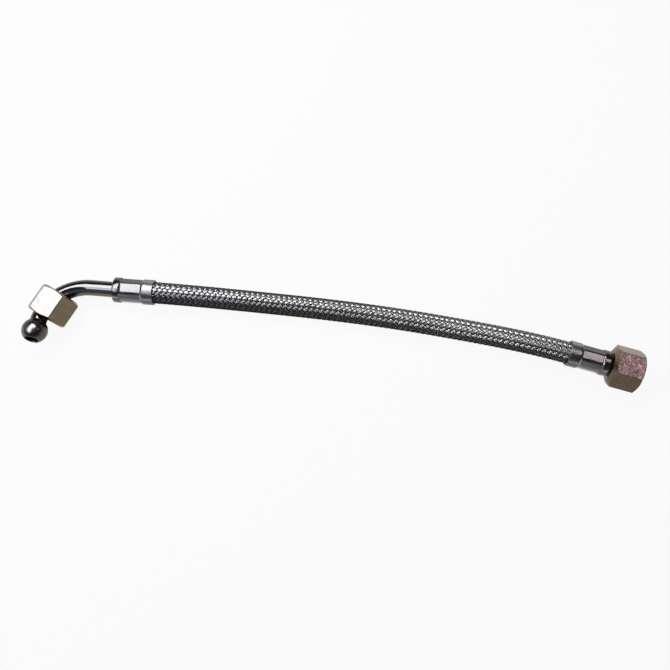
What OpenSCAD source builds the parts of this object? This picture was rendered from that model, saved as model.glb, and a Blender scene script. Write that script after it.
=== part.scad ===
// Braided supply line: a short flexible hose in a woven wire sleeve, crimped to a straight
// swivel nut at one end and to a bent metal tube with a ball-nose union at the other.
// Millimetres. The origin is on the straight nut's axis, where its thread begins; +X points
// out of its mouth, +Z is up. The line lies on a flat surface at z = -nut_af / 2.

/* [Swivel nuts] */
// Width of both nuts across their flats
nut_af = 19; // [18.5:0.1:21]
// Length of the straight end's nut
straight_nut_l = 15; // [14:0.5:20]
// Length of the elbow end's nut
elbow_nut_l = 14.5; // [12.5:0.5:17]
// Crest diameter of the nuts' pipe threads
thread_minor_d = 14.95; // [14.5:0.05:15.2]
// Root diameter of the threads, which the run-out grooves clear
thread_major_d = 16.66; // [16.2:0.02:16.8]
// Depth of the 45 degree lead-in at each mouth
lead_in = 1; // [0.5:0.1:1.4]
// Thickness of the lip that holds the straight nut on its nipple
straight_lip = 2.8; // [2:0.1:3.6]
// Thickness of the lip at the back of the elbow nut
elbow_lip = 1.8; // [1.2:0.1:2.4]
// Width of the elbow nut's run-out groove
elbow_groove_w = 2; // [1:0.1:3]
// Slope of the turned chamfers on the hexagon's corners, degrees
nut_chamfer = 30; // [20:1:40]
// Diameter of the flat ring on a nut's mouth face, outside its lead-in
mouth_face_d = 17.8; // [17.5:0.1:18.4]
// Diameter of the flat ring on the straight nut's back face
straight_back_d = 14.3; // [12:0.1:18]
// Diameter of the flat ring on the elbow nut's back face
elbow_back_d = 17; // [14:0.1:18.4]

/* [Straight nipple and washer] */
// Diameter of the nipple's neck, between the ferrule and the nut's lip
neck_d = 8; // [7:0.1:8.6]
// Thickness of the seat collar that the nut pulls on
seat_t = 1.8; // [1.2:0.1:2.6]
// Thickness of the sealing washer
washer_t = 1.8; // [1:0.1:2.6]
// Bore of the sealing washer
washer_bore_d = 8.4; // [6:0.1:10]
// Length of bare neck between the ferrule and the nut
neck_gap = 0.6; // [0.3:0.1:3]

/* [Ferrules] */
// Length of a crimped ferrule
ferrule_l = 20.4; // [19:0.2:26]
// Outer diameter of a ferrule at its bell and its dome
ferrule_d = 12.9; // [12.7:0.05:14]
// Metal thickness of a ferrule
ferrule_wall = 0.9; // [0.6:0.05:1]
// Width of the crimp across two opposite die flats
crimp_af = 11.5; // [11.2:0.05:11.9]
// Number of jaws in the crimping die
die_count = 8; // [6:1:10]
// Radius at the ends of each die jaw
die_r = 1.2; // [0.6:0.1:2]
// Length of the round dome, before the crimp
dome_l = 3.2; // [2.4:0.1:4.4]
// Radius of the dome's outer edge
dome_r = 2.2; // [1:0.1:2.4]
// Thickness of the end wall, where the dome closes on the neck
end_wall = 1.1; // [0.8:0.1:1.4]
// Length of the open bell, where the hose goes in
bell_l = 5.2; // [4:0.1:7]
// Radius of the bell's rim
rim_r = 0.4; // [0.1:0.05:0.45]

/* [Hose] */
// Outer diameter of the wire braid
hose_d = 11; // [10.4:0.05:11.1]
// Thickness of the braid
braid_wall = 0.65; // [0.4:0.05:0.8]
// Bore of the rubber liner
liner_bore_d = 7; // [6:0.1:7.6]
// Thickness of the braid where it is crimped
crimped_braid = 0.5; // [0.35:0.05:0.55]
// Distance along X between the two ferrules' open ends
hose_run = 207.7; // [190:0.1:400]
// How far the elbow end lies to the side of the straight end's axis
hose_bow = 27; // [18:0.1:34]
// Angle between the hose's two ends, seen from above, degrees
hose_turn = 11.4; // [8:0.1:14]
// Length over which the hose sinks from a ferrule to the table
sink_l = 66; // [50:1:80]
// How far the elbow's ferrule lies below the level of the straight nut's axis
elbow_drop = 2; // [1.5:0.1:2.4]

/* [Hose tails] */
// Crest diameter of the barbs
barb_d = 6.9; // [6.6:0.05:7]
// Root diameter between the barbs
barb_root_d = 6.2; // [5.9:0.05:6.5]
// Length of one barb
barb_pitch = 2.4; // [1.6:0.1:3]
// Number of barbs on a tail
barb_count = 4; // [2:1:5]
// Bore of both hose tails
tail_bore_d = 5; // [4:0.1:5.4]
// Diameter of the lock collar that the ferrule closes behind
lock_d = 10.2; // [10:0.05:10.4]
// Length of the lock collar
lock_l = 2.4; // [2:0.1:3]

/* [Elbow tube] */
// Outer diameter of the bent tube
tube_d = 8; // [7:0.1:8.4]
// Wall of the bent tube
tube_wall = 0.8; // [0.7:0.05:1.4]
// Straight length of tube between the ferrule and the bend
tube_lead = 12; // [9:0.5:20]
// Radius of the bend at the tube's centre line
bend_r = 22; // [21.5:0.1:26]
// Angle that the tube turns through
bend_angle = 86; // [80:1:90]
// Straight length between the bend and the centre of the ball
tube_tail = 5.8; // [5.2:0.1:12]
// Tilt of the bend out of the table's plane, which lifts the ball, degrees
elbow_tilt = 15; // [13:0.5:17]
// How far the tube goes into the tail's socket
socket_l = 1.6; // [1:0.1:1.8]
// How much the tube's end is sized for brazing: off the outside and off the bore
sizing = 0.04; // [0.02:0.01:0.06]

/* [Ball head] */
// Diameter of the ball
ball_d = 12.4; // [12:0.1:13.6]
// Distance from the ball's centre to its flat tip
ball_tip = 5; // [4.6:0.1:5.1]
// Diameter of the waterway's mouth at the tip
ball_mouth_d = 6.9; // [6.6:0.1:7]
// Distance from the ball's centre back to the tube's end
tube_stop = 1.5; // [0:0.1:2.5]
// Radius of the brazed fillet between ball and tube
fillet_r = 0.8; // [0.4:0.1:1.2]

/* [Where the elbow nut rests] */
// Angle round the bend at which the nut's lip lies, degrees from the start of the bend
nut_angle = 41; // [38:0.5:43]
// How far the nut's axis lies there to the inner side of the tube's, seen from above
nut_shift = 0.4; // [0.2:0.05:0.6]
// Angle from the elbow ferrule's axis to the nut's, seen from above, degrees
nut_turn = 63.3; // [61:0.1:65]
// Clearance round the tube in the elbow nut's hole, which lets the nut pass the bend
elbow_hole_gap = 1.45; // [1.45:0.05:1.7]

/* [Fits] */
// Radial clearance of the straight nut on its neck, and round the seat collar
swivel_gap = 0.3; // [0.2:0.05:0.4]
// Clearance between pieces that are crimped or brazed together
joint_gap = 0.05; // [0.02:0.01:0.1]
// Clearance of the hose in the open bell of a ferrule
bell_gap = 0.1; // [0.05:0.01:0.15]

/* [Hidden] */
$fn = 64;
hose_sides = 12;
cut = 1; // overshoot of the cutting shapes
washer_gap = 0.2; // from the washer's face to the first thread
groove_gap = 0.1; // run-out groove's clearance round the thread's roots
seat_edge = 0.3; // chamfer on the back of the nipple's seat collar
tail_tip = 0.3; // how much the first barb tapers in to the tail's tip
route_steps = 14; // stretches of the hose between its ferrules
table_gap = 0.05; // under the hose where it lies on the table

// Straight end, measured along its axis from the ferrule's dome end
nut_x = neck_gap;
seat_x = nut_x + straight_lip + swivel_gap;
washer_x = seat_x + seat_t;
thread_x = washer_x + washer_t + washer_gap;
straight_groove_w = thread_x - nut_x - straight_lip;
ferrule_x = -(nut_x + straight_nut_l - lead_in);
seat_d = thread_minor_d - 2 * swivel_gap;

// Ferrule stations, measured back from the dome end
lock_x = end_wall + joint_gap;
hose_x = lock_x + lock_l;
crimp_end = ferrule_l - bell_l;
pinch_end = crimp_end - die_r - ferrule_wall / 2;
bell_x = crimp_end + ferrule_wall / 2;
crimp_bore_d = crimp_af - 2 * ferrule_wall;
bell_bore_d = hose_d + 2 * bell_gap;
barb_start = hose_x + barb_count * barb_pitch;

// Braid and liner radii: free, and pinched in the crimp
braid_r = [hose_d / 2, crimp_bore_d / 2 - joint_gap];
braid_in_r = [braid_r[0] - braid_wall, braid_r[1] - crimped_braid];
liner_r = [braid_in_r[0] - joint_gap, braid_in_r[1] - joint_gap];
liner_in_r = [liner_bore_d / 2, (barb_d / 2 + joint_gap) / cos(180 / hose_sides)];

waterway_d = tube_d - 2 * tube_wall;

// The hose's free stretch. Seen from above it leaves the straight ferrule along -X and
// curves until it enters the elbow ferrule at hose_turn. Seen from the side it sinks from
// both ferrules until it lies on the table. `f` runs from 0 to 1.
rim_x = ferrule_x - ferrule_l;
hose_low = (nut_af - hose_d) / 2 - table_gap;
end_slope = tan(hose_turn) * hose_run;
function sideways(f) = (3 * hose_bow - end_slope) * pow(f, 2) + (end_slope - 2 * hose_bow) * pow(f, 3);
function ease(t) = let (c = min(t, 1)) c * c * (3 - 2 * c);
function sag(f) =
  f < 0.5 ? hose_low * ease(f * hose_run / sink_l)
          : elbow_drop + (hose_low - elbow_drop) * ease((1 - f) * hose_run / sink_l);
function hose_at(f) = [rim_x - f * hose_run, -sideways(f), -sag(f)];

elbow_at = hose_at(1) - ferrule_l * [cos(hose_turn), sin(hose_turn), 0];

// --- placing -----------------------------------------------------------------------------

// Lays a shape that was turned about Z along +X
module lie_down() {
  rotate([0, 90, 0]) children();
}

// Straight end: the origin at the ferrule's dome end, +X towards the nut
module at_straight() {
  translate([ferrule_x, 0, 0]) children();
}

// Elbow end: the origin at the ferrule's dome end, +X along the tube
module at_elbow() {
  translate(elbow_at) rotate([0, 0, 180 + hose_turn]) children();
}

// The bent tube's own plane, tilted about the ferrule's axis
module at_tube() {
  at_elbow() rotate([elbow_tilt, 0, 0]) children();
}

// A point on the bend, with +X along the tube
module on_bend(angle) {
  translate([tube_lead, bend_r, 0]) rotate([0, 0, angle]) translate([0, -bend_r, 0]) children();
}

// The elbow nut's back face, with +X out of the nut's mouth. The nut lies on the table like
// the straight nut, with its lip round the tilted tube. `way` is the tube's direction there,
// seen from above.
module at_elbow_nut() {
  flat = cos(elbow_tilt);
  way = unit([cos(nut_angle), sin(nut_angle) * flat]);
  translate([elbow_at.x, elbow_at.y, 0]) rotate([0, 0, 180 + hose_turn])
    translate([tube_lead + bend_r * sin(nut_angle) - nut_shift * way.y,
               bend_r * (1 - cos(nut_angle)) * flat + nut_shift * way.x, 0])
      rotate([0, 0, nut_turn]) translate([-elbow_lip / 2, 0, 0]) children();
}

// The hose's centre line inside a ferrule, from the dome end at `at`, going in direction `dir`
function ferrule_stations(at, dir) =
  [for (s = [hose_x + joint_gap, pinch_end, bell_x, ferrule_l]) at + s * dir];

hose_path = concat(
  ferrule_stations([ferrule_x, 0, 0], [-1, 0, 0]),
  [for (i = [1:route_steps - 1]) hose_at(i / route_steps)],
  [for (i = [3:-1:0]) ferrule_stations(elbow_at, [cos(hose_turn), sin(hose_turn), 0])[i]]
);
last = len(hose_path) - 1;

// --- swept tube --------------------------------------------------------------------------

function unit(v) = v / norm(v);
// Direction of the path at point i: the mean of the stretches before and after it
function heading(p, i) = unit(p[min(i + 1, len(p) - 1)] - p[max(i - 1, 0)]);
// 1 for the rings pinched in a crimp, 0 elsewhere
function pinched(i) = i < 2 || i > last - 2 ? 1 : 0;
function ring(p, i, r) =
  let (t = heading(p, i), side = unit(cross(t, [0, 0, 1])), up = cross(side, t))
  [for (k = [0:hose_sides - 1])
    let (a = 360 * k / hose_sides) p[i] + r * (cos(a) * side + sin(a) * up)];
// Triangles between ring a and ring b of a point list, facing out when b is ahead of a
function strip(a, b) = [
  for (k = [0:hose_sides - 1])
    let (n = (k + 1) % hose_sides, p = a * hose_sides, q = b * hose_sides)
    each [[p + k, q + k, q + n], [p + k, q + n, p + n]]
];

// A pipe along the path, with an outer and an inner radius for free and pinched rings
module pipe_along(p, outer, inner) {
  n = len(p);
  rings = [
    for (i = [0:n - 1]) each ring(p, i, outer[pinched(i)]),
    for (i = [n - 1:-1:0]) each ring(p, i, inner[pinched(i)])
  ];
  polyhedron(rings, [for (i = [0:2 * n - 1]) each strip(i, (i + 1) % (2 * n))]);
}

// --- nuts --------------------------------------------------------------------------------

// A hexagon with turned corners, its back face at x = 0, lying on a flat
module nut_blank(l, back_d) {
  rim = nut_af / cos(30) / 2 + cut;
  slope = tan(nut_chamfer);
  lie_down()
    intersection() {
      linear_extrude(l) rotate(30) circle(d = nut_af / cos(30), $fn = 6);
      rotate_extrude() polygon([
        [0, 0], [back_d / 2, 0], [rim, (rim - back_d / 2) * slope],
        [rim, l - (rim - mouth_face_d / 2) * slope], [mouth_face_d / 2, l], [0, l]
      ]);
    }
}

// The space inside a nut: hole, seat or square shoulder, run-out groove, thread, lead-in
module nut_bore(l, hole_d, lip, seat_depth, groove_w) {
  minor = thread_minor_d / 2;
  groove = thread_major_d / 2 + groove_gap;
  lie_down() rotate_extrude() polygon([
    [0, -cut], [hole_d / 2, -cut], [hole_d / 2, lip],
    [seat_depth > 0 ? minor : groove, lip + seat_depth], [groove, lip + seat_depth],
    [groove, lip + seat_depth + groove_w], [minor, lip + seat_depth + groove_w],
    [minor, l - lead_in], [minor + lead_in + cut, l + cut], [0, l + cut]
  ]);
}

module straight_nut() {
  color([0.66, 0.58, 0.55])
    at_straight() translate([nut_x, 0, 0])
      difference() {
        nut_blank(straight_nut_l, straight_back_d);
        nut_bore(straight_nut_l, neck_d + 2 * swivel_gap, straight_lip, 0, straight_groove_w);
      }
}

// The union nut is loose on the tube. Its hole clears the bend and its 45 degree seat
// catches the ball.
module elbow_nut() {
  hole_d = tube_d + 2 * elbow_hole_gap;
  color([0.52, 0.48, 0.41])
    at_elbow_nut()
      difference() {
        nut_blank(elbow_nut_l, elbow_back_d);
        nut_bore(elbow_nut_l, hole_d, elbow_lip, (thread_minor_d - hole_d) / 2, elbow_groove_w);
      }
}

// --- hose tails --------------------------------------------------------------------------

// Barbs and lock collar of a hose tail, solid, running back from the ferrule's end wall.
// Each barb rises from the hose's side to a sharp shoulder on the fitting's side.
module barbed_tail() {
  crest = barb_d / 2;
  root = barb_root_d / 2;
  lie_down() rotate_extrude() polygon([
    [0, -barb_start], [root - tail_tip, -barb_start],
    for (i = [barb_count - 1:-1:0])
      let (front = -hose_x - i * barb_pitch)
      each [[crest, front - barb_pitch / 4], [crest, front - barb_pitch / 8],
            [root, front - barb_pitch / 8], [root, front]],
    [lock_d / 2, -hose_x], [lock_d / 2, -lock_x], [0, -lock_x]
  ]);
}

module tail_bore() {
  lie_down() translate([0, 0, -barb_start - cut])
    cylinder(d = tail_bore_d, h = barb_start + washer_x + 2 * cut);
}

// Turned nipple: barbed tail, lock collar, neck, and the seat collar that the nut pulls on
module straight_nipple() {
  color([0.78, 0.75, 0.68])
    at_straight()
      difference() {
        union() {
          barbed_tail();
          lie_down() translate([0, 0, -lock_x]) cylinder(d = neck_d, h = lock_x + washer_x);
          lie_down() rotate_extrude() polygon([
            [0, seat_x], [seat_d / 2 - seat_edge, seat_x], [seat_d / 2, seat_x + seat_edge],
            [seat_d / 2, washer_x], [0, washer_x]
          ]);
        }
        tail_bore();
      }
}

module sealing_washer() {
  color([0.12, 0.12, 0.13])
    at_straight() lie_down() translate([0, 0, washer_x])
      difference() {
        cylinder(d = seat_d, h = washer_t);
        translate([0, 0, -cut]) cylinder(d = washer_bore_d, h = washer_t + 2 * cut);
      }
}

// The elbow's tail has a socket in its lock collar, where the tube is brazed in
module elbow_hose_tail() {
  color([0.78, 0.75, 0.68])
    at_elbow()
      difference() {
        barbed_tail();
        tail_bore();
        lie_down() translate([0, 0, -lock_x - socket_l])
          cylinder(d = tube_d + 2 * joint_gap, h = socket_l + cut);
      }
}

// --- ferrules ----------------------------------------------------------------------------

// Outline of a ferrule before it is crimped: domed at x = 0, its rim at x = -ferrule_l
module ferrule_blank() {
  r = ferrule_d / 2;
  lie_down() rotate_extrude() {
    translate([0, -ferrule_l + rim_r]) square([r, ferrule_l - rim_r - dome_r]);
    translate([0, -ferrule_l]) square([r - rim_r, ferrule_l]);
    translate([0, -dome_r]) square([r - dome_r, dome_r]);
    intersection() {
      translate([r - dome_r, -dome_r]) circle(dome_r);
      translate([0, -dome_r]) square([r, dome_r]);
    }
    intersection() {
      translate([r - rim_r, -ferrule_l + rim_r]) circle(rim_r);
      translate([0, -ferrule_l]) square([r, rim_r]);
    }
  }
}

// The space inside: end hole, room for the lock collar, crimped bore, flare and bell
module ferrule_bore() {
  hole = max(neck_d, tube_d) / 2 + 2 * joint_gap;
  lock = lock_d / 2 + joint_gap;
  pinch = crimp_bore_d / 2;
  bell = bell_bore_d / 2;
  lie_down() rotate_extrude() polygon([
    [0, cut], [hole, cut], [hole, -end_wall], [lock, -end_wall], [lock, -hose_x],
    [pinch, -hose_x], [pinch, -pinch_end], [bell, -bell_x], [bell, -ferrule_l - cut],
    [0, -ferrule_l - cut]
  ]);
}

// What one die jaw presses away: a flat with a round run-out at each end
module die_jaw() {
  low = crimp_af / 2;
  reach = ferrule_d;
  flat_start = dome_l + die_r;
  flat_end = crimp_end - die_r;
  translate([-flat_end, -reach / 2, low]) cube([flat_end - flat_start, reach, reach]);
  for (x = [-flat_start, -flat_end])
    translate([x, 0, low + die_r]) rotate([90, 0, 0]) cylinder(r = die_r, h = reach, center = true);
}

// A ferrule, crimped all round by the die's jaws
module ferrule() {
  difference() {
    ferrule_blank();
    ferrule_bore();
    for (i = [0:die_count - 1]) rotate([360 * i / die_count, 0, 0]) die_jaw();
  }
}

module straight_ferrule() {
  color([0.80, 0.80, 0.83]) at_straight() ferrule();
}

module elbow_ferrule() {
  color([0.80, 0.80, 0.83]) at_elbow() ferrule();
}

// --- hose --------------------------------------------------------------------------------

// The woven wire sleeve, pinched at both ends
module braid() {
  color([0.62, 0.63, 0.66]) pipe_along(hose_path, braid_r, braid_in_r);
}

// The rubber tube inside it, pushed over the barbs
module liner() {
  color([0.13, 0.13, 0.14]) pipe_along(hose_path, liner_r, liner_in_r);
}

// --- elbow -------------------------------------------------------------------------------

// Cross-section of the tube's wall, thinned by `less` on both faces
module tube_section(less = 0) {
  difference() {
    circle(d = tube_d - 2 * less);
    circle(d = waterway_d + 2 * less);
  }
}

// From the socket in the tail, round the bend and, sized down a little, into the ball
module elbow_tube() {
  socket_end = -lock_x - socket_l;
  lap = 0.2; // the sized end starts this far inside the bend's wall
  color([0.82, 0.82, 0.85])
    at_tube() {
      translate([socket_end, 0, 0]) lie_down() linear_extrude(tube_lead - socket_end) tube_section();
      translate([tube_lead, bend_r, 0]) rotate([0, 0, -90])
        rotate_extrude(angle = bend_angle) translate([bend_r, 0]) tube_section();
      on_bend(bend_angle) translate([-lap, 0, 0]) lie_down()
        linear_extrude(lap + tube_tail - tube_stop) tube_section(sizing);
    }
}

// Ball nose brazed on the tube's end: a true sphere with a flat tip, a coned mouth, a socket
// for the tube, and a fillet of braze behind it
module ball_head() {
  r = ball_d / 2;
  tube_r = tube_d / 2;
  fillet_z = sqrt(pow(r + fillet_r, 2) - pow(tube_r + fillet_r, 2));
  touch = r / (r + fillet_r) * [tube_r + fillet_r, fillet_z]; // where the fillet meets the ball
  socket_r = tube_r + joint_gap;
  mouth_l = (ball_mouth_d - waterway_d) / 2;
  color([0.80, 0.79, 0.80])
    at_tube() on_bend(bend_angle) translate([tube_tail, 0, 0]) lie_down()
      difference() {
        union() {
          sphere(r);
          translate([0, 0, -fillet_z]) rotate_extrude() difference() {
            square([touch.x, fillet_z - touch.y]);
            translate([tube_r + fillet_r, 0]) circle(fillet_r);
          }
        }
        translate([0, 0, ball_tip]) cylinder(r = r, h = r);
        translate([0, 0, -r - fillet_r - cut]) cylinder(r = socket_r, h = r + fillet_r + cut - tube_stop);
        translate([0, 0, -r]) cylinder(d = waterway_d, h = 2 * r);
        translate([0, 0, ball_tip - mouth_l])
          cylinder(d1 = waterway_d, d2 = waterway_d + 4 * mouth_l, h = 2 * mouth_l);
      }
}

straight_nut();
sealing_washer();
straight_nipple();
straight_ferrule();
liner();
braid();
elbow_ferrule();
elbow_hose_tail();
elbow_tube();
ball_head();
elbow_nut();
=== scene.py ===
# %% [markdown]
# # A braided supply line, piece by piece
# This lesson dresses a short plumbing hose: a rubber tube in a woven wire sleeve, a straight
# swivel nut on one end, and on the other a bent tube with a ball nose and a loose union nut.
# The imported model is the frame. It says where every piece is, so nothing here is placed by
# eye. Most pieces are surfaces worked out with numpy, because turned, pressed and woven
# metal is regular, and a formula gives it exactly.

# %% Load the frame
import math

import bpy
import numpy as np
from mathutils import Matrix, Vector


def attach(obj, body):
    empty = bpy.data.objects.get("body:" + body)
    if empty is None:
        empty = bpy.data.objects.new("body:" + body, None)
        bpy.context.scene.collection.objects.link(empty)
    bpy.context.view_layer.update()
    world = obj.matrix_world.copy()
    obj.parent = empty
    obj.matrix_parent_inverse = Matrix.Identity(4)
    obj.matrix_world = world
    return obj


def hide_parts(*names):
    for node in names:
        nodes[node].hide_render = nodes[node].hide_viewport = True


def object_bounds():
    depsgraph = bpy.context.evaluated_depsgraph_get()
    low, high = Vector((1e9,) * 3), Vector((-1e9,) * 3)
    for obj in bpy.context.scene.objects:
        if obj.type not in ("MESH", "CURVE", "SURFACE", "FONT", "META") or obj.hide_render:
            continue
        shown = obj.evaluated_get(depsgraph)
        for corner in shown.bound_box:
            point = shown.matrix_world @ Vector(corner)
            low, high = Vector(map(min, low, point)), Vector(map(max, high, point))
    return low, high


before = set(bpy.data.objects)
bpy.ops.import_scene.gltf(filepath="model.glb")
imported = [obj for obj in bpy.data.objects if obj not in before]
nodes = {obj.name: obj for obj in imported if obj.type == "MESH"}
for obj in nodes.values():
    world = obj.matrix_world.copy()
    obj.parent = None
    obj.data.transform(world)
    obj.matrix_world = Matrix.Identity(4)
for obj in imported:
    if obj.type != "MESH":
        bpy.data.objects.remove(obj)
cad_low, cad_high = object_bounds()
MM = 0.001

# %% [markdown]
# ## The view
# The line lies on a table and is seen almost from above, from about 36 cm away, so the near
# end looks a little larger than the far one. A camera is a place, three axes and a
# focal length. Building the axes from two angles keeps the picture level.

# %% Camera
VIEW_TURN = math.radians(15.98)
VIEW_RISE = math.radians(79.0)
VIEW_FAR = 363.6 * MM
VIEW_AT = Vector((-148.6, -23.18, 0)) * MM
FOCAL_OVER_WIDTH = 1.0868
SENSOR_W = 36

right = Vector((math.cos(VIEW_TURN), math.sin(VIEW_TURN), 0))
ahead = Vector((-math.sin(VIEW_TURN) * math.cos(VIEW_RISE),
                math.cos(VIEW_TURN) * math.cos(VIEW_RISE),
                -math.sin(VIEW_RISE)))
above = right.cross(ahead)
camera = bpy.data.objects.new("camera", bpy.data.cameras.new("camera"))
bpy.context.scene.collection.objects.link(camera)
camera.data.sensor_width = SENSOR_W
camera.data.lens = SENSOR_W * FOCAL_OVER_WIDTH
camera.data.clip_start = 0.01
axes = Matrix((right, above, -ahead)).transposed().to_4x4()
camera.matrix_world = Matrix.Translation(VIEW_AT - ahead * VIEW_FAR) @ axes
bpy.context.scene.camera = camera
print("camera", [round(x, 4) for x in camera.location], "lens", round(camera.data.lens, 2))

# %% [markdown]
# ## From a grid of points to a mesh
# Each piece is a grid of points: rows one way, columns the other. Neighbouring points make
# four-sided faces, and a grid can close on itself in either direction, as a ring does.
# The texture coordinates are laid along the same rows and columns, nearly in millimetres, so
# a pattern keeps its real size from piece to piece. Only across a strand do they run from 0
# to 1, because its wires are counted there.

# %% Grid helper
def add_grid(name, points, row_uv, column_uv, close_rows=False, close_columns=True, flip=False):
    """Makes one mesh from grids of points shaped (strips, rows, columns, 3), in metres.

    Point (i, j) is joined to (i + 1, j), (i + 1, j + 1) and (i, j + 1). A closed direction
    joins its last point to its first and has one more texture coordinate than points."""
    strips, rows, columns = points.shape[:3]
    i = np.arange(rows if close_rows else rows - 1)[:, None]
    j = np.arange(columns if close_columns else columns - 1)[None, :]
    corner = [(i, j), (i + 1, j), (i + 1, j + 1), (i, j + 1)]
    if flip:
        corner = corner[::-1]
    quads = np.stack([(a % rows) * columns + b % columns + 0 * (i + j) for a, b in corner], -1)
    uv = np.stack([np.stack([row_uv[a] + 0 * b, column_uv[b] + 0 * a], -1) for a, b in corner], -2)
    quads = quads.reshape(-1, 4)
    quads = (quads[None] + (np.arange(strips) * rows * columns)[:, None, None]).reshape(-1, 4)
    mesh = bpy.data.meshes.new(name)
    mesh.from_pydata(points.reshape(-1, 3), [], quads)
    layer = mesh.uv_layers.new(name="UVMap")
    layer.data.foreach_set("uv", np.tile(uv.reshape(-1), strips).astype(np.float32))
    mesh.polygons.foreach_set("use_smooth", np.ones(len(quads), bool))
    piece = bpy.data.objects.new(name, mesh)
    bpy.context.scene.collection.objects.link(piece)
    print(name, "faces:", len(quads))
    return piece

# %% Attribute helper
def store(piece, name, values):
    """Keeps a number, or three where values has a last direction of three, for each point."""
    count = len(piece.data.vertices)
    kind, field = ("FLOAT", "value") if values.size == count else ("FLOAT_VECTOR", "vector")
    layer = piece.data.attributes.new(name, kind, "POINT")
    layer.data.foreach_set(field, values.reshape(-1).astype(np.float32))

# %% [markdown]
# ## The hose's route
# A hose is one fixed length of something springy. Seen from above it leaves the straight
# ferrule in line with it and bends evenly until it meets the elbow's ferrule, some 11
# degrees round. Seen from the side it sinks from both ferrules until it lies on the table.
# These are the same sizes and the same two formulas as the solid's, so the weave covers it.
# With f from 0 to 1 along the run, the hose lies (3 bow - slope) f^2 + (slope - 2 bow) f^3 to
# the side, and it sinks by the smooth step c^2 (3 - 2c), where c is the distance from the
# nearer ferrule over the length in which it sinks, 1 at most.

# %% Route
FERRULE_X = -14.6                # the dome of the straight ferrule
FERRULE_L = 20.4
HOSE_RUN = 207.7                 # between the two ferrules, along X
HOSE_BOW = 27.0                  # to the side, at the elbow's end
HOSE_TURN = math.radians(11.4)
HOSE_LOW = 3.95                  # how deep the middle lies below the straight nut's axis
ELBOW_DROP = 2.0                 # how deep the elbow's ferrule lies
SINK_L = 66.0                    # over which the hose sinks to the table
INSIDE = 4.7                     # of hose that is tucked into each ferrule
ROUTE_STEPS = 240

end_slope = math.tan(HOSE_TURN) * HOSE_RUN
f = np.linspace(0, 1, ROUTE_STEPS + 1)
sideways = (3 * HOSE_BOW - end_slope) * f**2 + (end_slope - 2 * HOSE_BOW) * f**3
closeness = np.minimum(1, np.minimum(f, 1 - f) * HOSE_RUN / SINK_L)
end_low = np.where(f < 0.5, 0, ELBOW_DROP)
sinking = end_low + (HOSE_LOW - end_low) * closeness**2 * (3 - 2 * closeness)
free = np.stack([FERRULE_X - FERRULE_L - f * HOSE_RUN, -sideways, -sinking], 1)
along_elbow = np.array([math.cos(HOSE_TURN), math.sin(HOSE_TURN), 0])
tucked = np.linspace(INSIDE, 0.5, 9)[:, None]
route = np.concatenate([free[0] + tucked * [1, 0, 0], free,
                        free[-1] - tucked[::-1] * along_elbow])
steps = np.linalg.norm(np.diff(route, axis=0), axis=1)
route_s = np.concatenate([[0], np.cumsum(steps)])
ELBOW_AT = free[-1] - FERRULE_L * along_elbow
print("hose between ferrules:", round(route_s[-1] - 2 * INSIDE, 1), "mm")
print("elbow starts at", np.round(ELBOW_AT, 3))

# %% [markdown]
# ## Points round the hose
# Every strand lies on the hose's round surface, so it helps to have one function that turns
# a distance along the hose, an angle round it and a height into a point in space. At each
# place the route has a heading, and two directions square to it: sideways and up.

# %% Hose coordinates
heading = np.gradient(route, route_s, axis=0)
heading /= np.linalg.norm(heading, axis=1)[:, None]
side = np.cross(heading, [0, 0, 1])
side /= np.linalg.norm(side, axis=1)[:, None]
up = np.cross(side, heading)


def on_hose(s, angle, radius):
    """Point at distance s along the hose: centre + radius * (cos angle * side + sin angle * up)."""
    at = [np.stack([np.interp(s, route_s, v[:, k]) for k in range(3)], -1)
          for v in (route, side, up)]
    ring = np.cos(angle)[..., None] * at[1] + np.sin(angle)[..., None] * at[2]
    return (at[0] + np.asarray(radius)[..., None] * ring) * MM

# %% [markdown]
# ## The woven sleeve
# The sleeve is braided from flat bundles of fine stainless wire: sixteen wind one way round
# and sixteen the other, and each goes over two and under two. A texture could fake that, but
# the bundles' overlaps and the small dark holes between them are what catches the light, so
# here they are real ribbons. All strands of one hand are one grid with sixteen strips.
# The height of a strand rises and falls once every four crossings. A hose is never quite
# free of twist, so the whole weave also turns slowly round it, a tenth of a degree each mm.

# %% Braid sizes
CARRIERS = 16                    # strands that wind each way
STRAND_STEP = 2.68               # from one strand to the next, along the hose
LEAD = CARRIERS * STRAND_STEP    # length in which a strand goes round once
HOSE_R = 5.5
STRAND_W = 1.6
STRAND_MID_R = 5.24
STRAND_LIFT = 0.28               # how far a strand rises and dips at the crossings
STRAND_FLAT = 1.5                # how flat its tops are
STRAND_CURL = 0.18               # how far its edges curl down
WEAVE_TURN = -10.0               # degrees that the weave starts round the hose
TWIST_PER_MM = -0.1
BRAID_TILT = math.atan(2 * math.pi * HOSE_R / LEAD)
print("braid angle", round(math.degrees(BRAID_TILT), 1))

# %% Painted highlight ridge
RIDGE_AT = 21
RIDGE_WIDTH = 17


def painted_ridge_share(s, angle):
    """How bright the wire is: 1 on a painted highlight ridge along the hose, 21 degrees beyond the
    top.

    Away from it the share falls as exp(-((degrees - 21) / 17)^2) to what the place along the
    hose has: 1 for the first 60 mm, then less and less, down to 0.2 near the elbow, as painted
    shade."""
    beyond_top = (270 - np.degrees(angle)) % 360 - 180
    rest = np.interp(s, [60, 110, 170], [1, 0.4, 0.2])
    return rest + (1 - rest) * np.exp(-((beyond_top - RIDGE_AT) / RIDGE_WIDTH)**2)

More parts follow.
